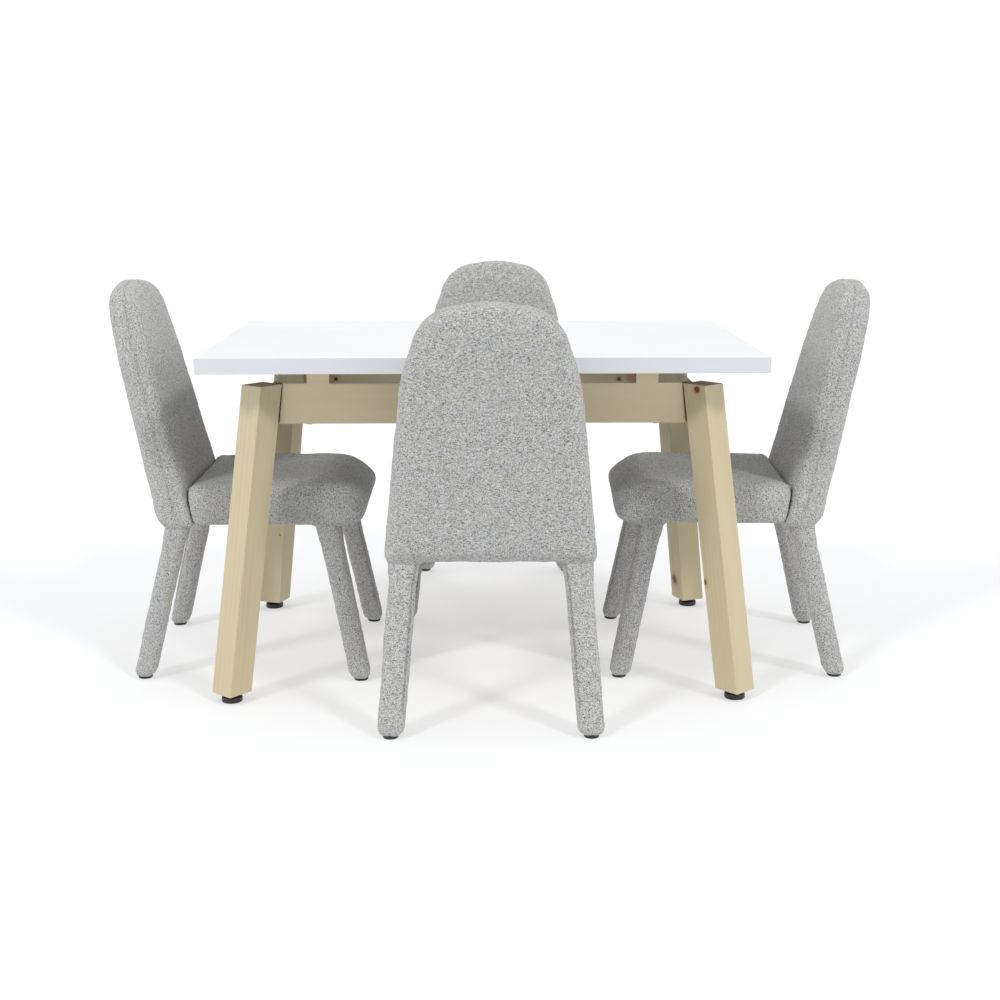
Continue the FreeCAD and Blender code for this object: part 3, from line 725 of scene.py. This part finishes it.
def boucle():
    """Light grey looped wool: packed curly loops in uneven rows, with painted highlight on crests and
    painted shade in gaps.
    """
    recipe = Recipe("boucle")
    chair = recipe.add("ObjectInfo").outputs["Location"]
    place = recipe.vector_math("ADD", recipe.place(), chair)
    swirl = recipe.add("TexNoise", [("Vector", place), ("Scale", 260.0), ("Detail", 1.0)]).outputs["Color"]
    offset = recipe.vector_math("SUBTRACT", swirl, (0.5, 0.5, 0.5))
    curled = recipe.vector_math("ADD", place, recipe.vector_math("MULTIPLY", offset, CURL))
    loops = recipe.cells(recipe.shifted(curled, scale=(0.75, 1, 1)), 760.0)
    loops = recipe.span(loops, 0.10, 0.75, 1.0, 0.0)
    fibres = recipe.noise(curled, 1500.0, 2.0, 0.6)
    rows = recipe.noise(recipe.shifted(curled, scale=(0.35, 1, 1)), 420.0, 2.0, 0.5)
    gaps = recipe.span(recipe.noise(place, 760.0, 2.0, 0.55), 0.34, 0.54)
    height = recipe.math("MULTIPLY_ADD", loops, 0.55, recipe.math("MULTIPLY", fibres, 0.25))
    height = recipe.math("MULTIPLY_ADD", recipe.span(rows, 0.35, 0.65), 0.20, height)
    height = recipe.math("MULTIPLY", height, recipe.math("MULTIPLY_ADD", gaps, 0.45, 0.55))
    # Colour follows loop height: painted shade in the gaps between loops, painted highlight on the crests.
    colour = recipe.ramp(height, [(0.10, (0.100, 0.098, 0.090)), (0.27, (0.315, 0.315, 0.309)),
                                  (0.50, (0.505, 0.506, 0.502)), (0.80, (0.740, 0.739, 0.730))])
    warm = recipe.span(recipe.noise(place, 70.0, 2.0), 0.50, 0.64)
    cool = recipe.span(recipe.noise(place, 88.0, 2.0), 0.36, 0.50, 1.0, 0.0)
    colour = recipe.mix(recipe.math("MULTIPLY", warm, 0.5), colour, (0.96, 0.94, 0.84), "MULTIPLY")
    colour = recipe.mix(recipe.math("MULTIPLY", cool, 0.4), colour, (0.90, 0.95, 0.98), "MULTIPLY")
    # Along the sewn channels the colour darkens: painted shade in the groove.
    seam = recipe.add("Attribute", attribute_name="sewn").outputs["Fac"]
    colour = recipe.mix(recipe.math("MULTIPLY", seam, 0.50), colour, (0.22, 0.22, 0.21), "MULTIPLY")
    return recipe.finish(base_color=colour, roughness=0.95, normal=recipe.bump(height, 0.0010, 0.9),
                         sheen_weight=0.15, sheen_roughness=0.6, specular_ior_level=0.12)


def grain_turn(direction):
    """The rotation, as a Mapping node wants it, that lays a board's length along Z."""
    return tuple(Vector(direction).rotation_difference(Vector((0, 0, 1))).to_euler())


def wood(name, direction, pith, tones, knots=(), ring_width=0.0074, contrast=1.0):
    """A clear-finished board: growth rings round a pith line, fine fibres and knots."""
    recipe = Recipe(name)
    place = recipe.place()
    turned_place = recipe.shifted(place, turn=grain_turn(direction))
    bend = recipe.noise(recipe.shifted(turned_place, scale=(9, 9, 1.6)), 1.0, 2.0, 0.5)
    swept = recipe.noise(recipe.shifted(turned_place, scale=(34, 34, 2.6)), 1.0, 3.0, 0.55)
    patchy = recipe.noise(recipe.shifted(turned_place, scale=(26, 26, 4)), 1.0, 2.0)
    patchy = recipe.span(patchy, 0.4, 0.62)
    spot = recipe.vector_math("SUBTRACT", turned_place, pith)
    flat = recipe.vector_math("MULTIPLY", spot, (1, 1, 0))
    radius = recipe.vector_math("LENGTH", flat, (0, 0, 0))
    radius = recipe.math("MULTIPLY_ADD", bend, 0.016, radius)
    radius = recipe.math("MULTIPLY_ADD", swept, 0.0085, radius)
    darkness, halo = 0.0, 0.0
    for middle, size in knots:
        away = recipe.vector_math("SUBTRACT", place, middle)
        wobble = recipe.noise(recipe.shifted(place, scale=(140, 140, 140)), 1.0, 2.0)
        reach = recipe.vector_math("LENGTH", away, (0, 0, 0))
        reach = recipe.math("MULTIPLY_ADD", wobble, size * 0.5, reach)
        spread = recipe.span(reach, size * 1.1, size * 4.0, 1.0, 0.0)
        radius = recipe.math("MULTIPLY_ADD", recipe.math("POWER", spread, 2.0), size * 1.6, radius)
        core = recipe.span(reach, size * 0.9, size * 1.6, 1.0, 0.0)
        darkness = recipe.math("MAXIMUM", darkness, core)
        halo = recipe.math("MAXIMUM", halo, recipe.span(reach, size * 1.2, size * 3.0, 1.0, 0.0))
    rings = recipe.math("FRACT", recipe.math("DIVIDE", radius, ring_width))
    late = recipe.math("MULTIPLY", recipe.span(rings, 0.25, 0.86), recipe.span(rings, 1.0, 0.9))
    fibre = recipe.noise(recipe.shifted(turned_place, scale=(1500, 1500, 22)), 1.0, 2.0, 0.6)
    pores = recipe.span(fibre, 0.35, 0.65)
    light, mid, dark, knot = tones
    late_share = recipe.math("MULTIPLY", late, recipe.math("MULTIPLY_ADD", patchy, 0.20, 0.05))
    colour = recipe.mix(recipe.math("MULTIPLY", late_share, contrast), light, dark)
    broad = recipe.span(bend, 0.35, 0.65)
    colour = recipe.mix(recipe.math("MULTIPLY", broad, 0.35), colour, mid)
    colour = recipe.mix(recipe.math("MULTIPLY", pores, 0.10), colour, dark)
    # End faces darken to a deep red-brown: darker end grain, and painted shade for the leg tops under the
    # top.
    facing = recipe.add("NewGeometry").outputs["True Normal"]
    along = recipe.math("ABSOLUTE", recipe.vector_math("DOT_PRODUCT", facing, direction))
    end = recipe.span(along, 0.6, 0.9)
    colour = recipe.mix(recipe.math("MULTIPLY", end, 0.85), colour, END_GRAIN_AND_SHADE)
    colour = recipe.mix(recipe.math("MULTIPLY", halo, 0.45), colour, KNOT_HALO)
    colour = recipe.mix(recipe.math("MULTIPLY", darkness, 0.92), colour, knot)
    height = recipe.math("MULTIPLY_ADD", late, 0.5, recipe.math("MULTIPLY", pores, 0.5))
    rough = recipe.span(late, 0.0, 1.0, 0.5, 0.42)
    return recipe.finish(base_color=colour, roughness=rough, normal=recipe.bump(height, 0.00012, 0.6),
                         specular_ior_level=0.35)


def plywood():
    """Birch plywood: thin layers that take turns at light and dark on the edges."""
    recipe = Recipe("plywood")
    place = recipe.place()
    face = recipe.noise(recipe.shifted(place, scale=(300, 12, 12)), 1.0, 4.0, 0.6)
    height = recipe.add("SeparateXYZ", [(0, place)]).outputs["Z"]
    layer = recipe.math("FRACT", recipe.math("DIVIDE", height, 0.0028))
    stripe = recipe.span(recipe.math("ABSOLUTE", recipe.math("SUBTRACT", layer, 0.5)), 0.2, 0.3)
    colour = recipe.ramp(face, [(0.3, (0.560, 0.420, 0.270)), (0.7, (0.680, 0.540, 0.370))])
    colour = recipe.mix(recipe.math("MULTIPLY", stripe, 0.35), colour, (0.360, 0.240, 0.130))
    return recipe.finish(base_color=colour, roughness=0.6, normal=recipe.bump(face, 0.0002, 0.5))


def laminate():
    """Satin white laminate with a faint cast and a very fine texture."""
    recipe = Recipe("laminate")
    place = recipe.place()
    cast = recipe.noise(recipe.shifted(place, scale=(2.2, 7.0, 7.0)), 1.0, 3.0, 0.5)
    grit = recipe.noise(place, 900.0, 2.0, 0.6)
    colour = recipe.ramp(cast, [(0.3, (0.716, 0.742, 0.752)), (0.7, (0.742, 0.762, 0.768))])
    facing = recipe.add("NewGeometry").outputs["True Normal"]
    upright = recipe.math("ABSOLUTE", recipe.vector_math("DOT_PRODUCT", facing, (0, 0, 1)))
    # Upright faces take a darker, bluer grey than the top: painted shade for the less-lit sides.
    colour = recipe.mix(recipe.span(upright, 0.3, 0.7), EDGE_BAND_SHADE, colour)
    rough = recipe.span(grit, 0.3, 0.7, 0.30, 0.38)
    return recipe.finish(base_color=colour, roughness=rough, normal=recipe.bump(grit, 0.00005, 0.4))


def black_plastic():
    recipe = Recipe("black_plastic")
    place = recipe.place()
    grit = recipe.noise(place, 1400.0, 3.0, 0.6)
    dust = recipe.span(recipe.noise(place, 90.0, 4.0, 0.6), 0.5, 0.8)
    colour = recipe.mix(recipe.math("MULTIPLY", dust, 0.3), (0.012, 0.012, 0.013), (0.045, 0.045, 0.046))
    rough = recipe.span(grit, 0.3, 0.7, 0.36, 0.52)
    return recipe.finish(base_color=colour, roughness=rough, normal=recipe.bump(grit, 0.0001, 0.35))


def zinc_steel():
    recipe = Recipe("zinc_steel")
    place = recipe.place()
    flakes = recipe.cells(place, 260.0)
    fine = recipe.noise(place, 1100.0, 3.0, 0.6)
    colour = recipe.ramp(flakes, [(0.1, (0.520, 0.530, 0.545)), (0.9, (0.640, 0.645, 0.650))])
    rough = recipe.span(fine, 0.3, 0.7, 0.25, 0.45)
    return recipe.finish(base_color=colour, metallic=1.0, roughness=rough,
                         normal=recipe.bump(fine, 0.00008, 0.3))


# ---------------------------------------------------------------- dress the CAD nodes

# POST_SPAN is how far a table leg reaches across at any one height. A knot is (place as shares of
# the board's box, radius).
POST_SPAN = 0.0645
KNOTS = {
    "leg_front_left": [],
    "leg_front_right": [((0.158, 0.593, 0.985), 0.0056), ((0.312, 0.434, 0.352), 0.0046)],
    "leg_back_left": [((0.433, 0.399, 0.286), 0.0016)],
    "leg_back_right": [((0.505, 0.702, 0.078), 0.0092)],
    "back_apron": [((0.088, 0.0, 0.229), 0.0036), ((0.892, 0.0, 0.213), 0.0036)],
    "front_apron": [((0.30, 0.98, 0.35), 0.0030)],
    "left_apron": [((0.50, 0.10, 0.60), 0.0026)],
    "right_apron": [((0.98, 0.62, 0.45), 0.0030)],
}


def dress(node, material):
    data = frame["nodes"][node].data
    data.materials.clear()
    data.materials.append(material)


def board_knots(node, spots):
    """Knots given as shares of the node's box and a radius."""
    low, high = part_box(node)
    size = high - low
    return [(tuple(low[axis] + size[axis] * share[axis] for axis in range(3)), radius)
            for share, radius in spots]


def post_lean(corner):
    """The way a table leg's grain runs, from foot to top."""
    low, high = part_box(f"leg_{corner}")
    side_x = -1 if corner.endswith("right") else 1
    side_y = -1 if corner.startswith("back") else 1
    return Vector((side_x * (high.x - low.x - POST_SPAN), side_y * (high.y - low.y - POST_SPAN),
                   high.z - low.z)).normalized()


def dress_table():
    dress("table_top", laminate())
    for number, corner in enumerate(CORNERS):
        node = f"leg_{corner}"
        pith = (0.31 - 0.17 * number, -0.27 + 0.11 * number, 0.0)
        dress(node, wood(f"pine_{node}", post_lean(corner), pith, PINE, board_knots(node, KNOTS[node])))
        dress(f"corner_block_{corner}", wood(f"hardwood_{corner}", (1, 0, 0), (0.02, 0.09, 0), BEECH,
                                             ring_width=0.0034, contrast=0.7))
    for number, side in enumerate(("front", "back", "left", "right")):
        node = f"{side}_apron"
        direction = (1, 0, 0) if side in ("front", "back") else (0, 1, 0)
        pith = (-0.46 + 0.05 * number, 0.28 - 0.04 * number, 0.0)
        # The aprons take the paler pine: painted light against the shade under the table top.
        dress(node, wood(f"pine_{node}", direction, pith, APRON_PINE_PAINTED_LIGHT, board_knots(node, KNOTS[node])))
    steel = zinc_steel()
    studs = [f"{chair}_leg_studs" for chair in CHAIRS]
    for node in ["top_screws", "corner_bolts", "glide_sleeves"] + studs:
        dress(node, steel)
    ply = plywood()
    for chair in CHAIRS:
        dress(f"{chair}_deck", ply)


def make_table_glides(plastic):
    for corner in CORNERS:
        piece = make_glide(corner)
        piece.data.materials.append(plastic)
        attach(piece, f"glide_{corner}")
        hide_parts(f"glide_{corner}")


# ---------------------------------------------------------------- show the chairs

def show_copy(source, chair, matrix, name, nodes):
    """One chair's copy of a piece that was made in the chair's own frame."""
    piece = bpy.data.objects.new(f"{chair}_{name}", source.data)
    SCENE.collection.objects.link(piece)
    piece.matrix_world = matrix
    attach(piece, chair)
    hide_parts(*nodes)


def join_pieces(name, pieces):
    """Several meshes as one piece of separate solids."""
    points, faces = [], []
    for piece in pieces:
        start = sum(len(part) for part in points)
        points.append(get_points(piece.data))
        faces.extend([start + index for index in polygon.vertices] for polygon in piece.data.polygons)
        bpy.data.objects.remove(piece)
    return mesh_piece(name, np.concatenate(points), faces)


def make_chairs(plastic):
    cloth = boucle()
    sources = {"back": make_back_pad(), "seat": make_seat_pad()}
    for number, leg in enumerate(LEGS):
        sources[leg] = make_leg_cover(leg, 31 + number)
    slips = join_pieces("slips", [make_slip(f"{leg}_slip", (*LINES[leg][1][:2], 0.0)) for leg in LEGS])
    for source in sources.values():
        source.data.materials.append(cloth)
    slips.data.materials.append(plastic)
    for chair in CHAIRS:
        matrix = chair_matrix(chair)
        show_copy(sources["back"], chair, matrix, "back_pad", [f"{chair}_back"])
        show_copy(sources["seat"], chair, matrix, "seat_pad", [f"{chair}_seat"])
        for leg in LEGS:
            show_copy(sources[leg], chair, matrix, f"{leg}_cover", [f"{chair}_{leg}_leg"])
        show_copy(slips, chair, matrix, "slips", [f"{chair}_foot_slips"])
    for source in [*sources.values(), slips]:
        bpy.data.objects.remove(source)


# ---------------------------------------------------------------- floor, light and camera

CAMERA_FROM_TABLE = Vector((-0.02065, -2.5882, 0.84727))
CAMERA_PITCH = math.radians(12.42)
CAMERA_TURN = -0.0202
CAMERA_LENS = 53.15
FLOOR_SIZE = 60.0


def make_floor():
    half = FLOOR_SIZE / 2
    corners = [(-half, -half, 0), (half, -half, 0), (half, half, 0), (-half, half, 0)]
    floor = mesh_piece("floor", np.array(corners), [(0, 1, 2, 3)])
    recipe = Recipe("floor_paint")
    cast = recipe.noise(recipe.place(), 1.5, 2.0)
    colour = recipe.ramp(cast, [(0.3, (0.456, 0.463, 0.474)), (0.7, (0.464, 0.471, 0.482))])
    floor.data.materials.append(recipe.finish(base_color=colour, roughness=0.9, specular_ior_level=0.1,
                                              emission_color=(1.0, 1.0, 1.0), emission_strength=0.46))


def make_sun(name, source, spread, strength):
    """An even light from far away, from a wide patch of sky around the source direction."""
    lamp = bpy.data.lights.new(name, "SUN")
    lamp.angle = math.radians(spread)
    lamp.energy = strength
    light = bpy.data.objects.new(name, lamp)
    SCENE.collection.objects.link(light)
    light.rotation_euler = Vector(source).to_track_quat("Z", "Y").to_euler()


WORLD_GLOW = [(0.26, 1.02), (0.40, 0.25)]
SUNS = [("left_boom", (-1.0, -1.0, 1.13), 10.0, 1.12), ("right_boom", (1.0, -1.0, 1.13), 10.0, 1.12),
        ("left_wall", (-1.0, 0.0, 0.5), 60.0, 0.80), ("right_wall", (1.0, 0.0, 0.5), 60.0, 0.80),
        ("rear_wall", (0.0, 1.0, 1.2), 50.0, 0.44), ("ceiling_light", (0.0, 0.0, 1.0), 60.0, 0.60)]


def make_lights():
    world = bpy.data.worlds.new("studio")
    SCENE.world = world
    world.use_nodes = True
    background = world.node_tree.nodes["Background"]
    background.inputs["Strength"].default_value = 1.0
    nodes = world.node_tree.nodes
    height = nodes.new("ShaderNodeSeparateXYZ")
    glow = nodes.new("ShaderNodeValToRGB")
    for element, (position, grey) in zip(glow.color_ramp.elements, WORLD_GLOW):
        element.position = position
        element.color = (grey, grey, grey, 1)
    direction = nodes.new("ShaderNodeTexCoord").outputs["Generated"]
    for source, socket in ((direction, height.inputs[0]), (height.outputs["Z"], glow.inputs["Fac"]),
                           (glow.outputs["Color"], background.inputs["Color"])):
        world.node_tree.links.new(source, socket)
    for name, source, spread, strength in SUNS:
        make_sun(name, source, spread, strength)


def make_camera():
    low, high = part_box("table_top")
    middle = Vector(((low.x + high.x) / 2, (low.y + high.y) / 2, 0))
    data = bpy.data.cameras.new("camera")
    data.lens = CAMERA_LENS
    camera = bpy.data.objects.new("camera", data)
    SCENE.collection.objects.link(camera)
    camera.location = middle + CAMERA_FROM_TABLE
    camera.rotation_euler = (math.pi / 2 - CAMERA_PITCH, 0, CAMERA_TURN)
    SCENE.camera = camera
    SCENE.view_settings.view_transform = "Standard"


# ---------------------------------------------------------------- build

dress_table()
plastic = black_plastic()
make_table_glides(plastic)
make_chairs(plastic)
make_floor()
make_lights()
make_camera()
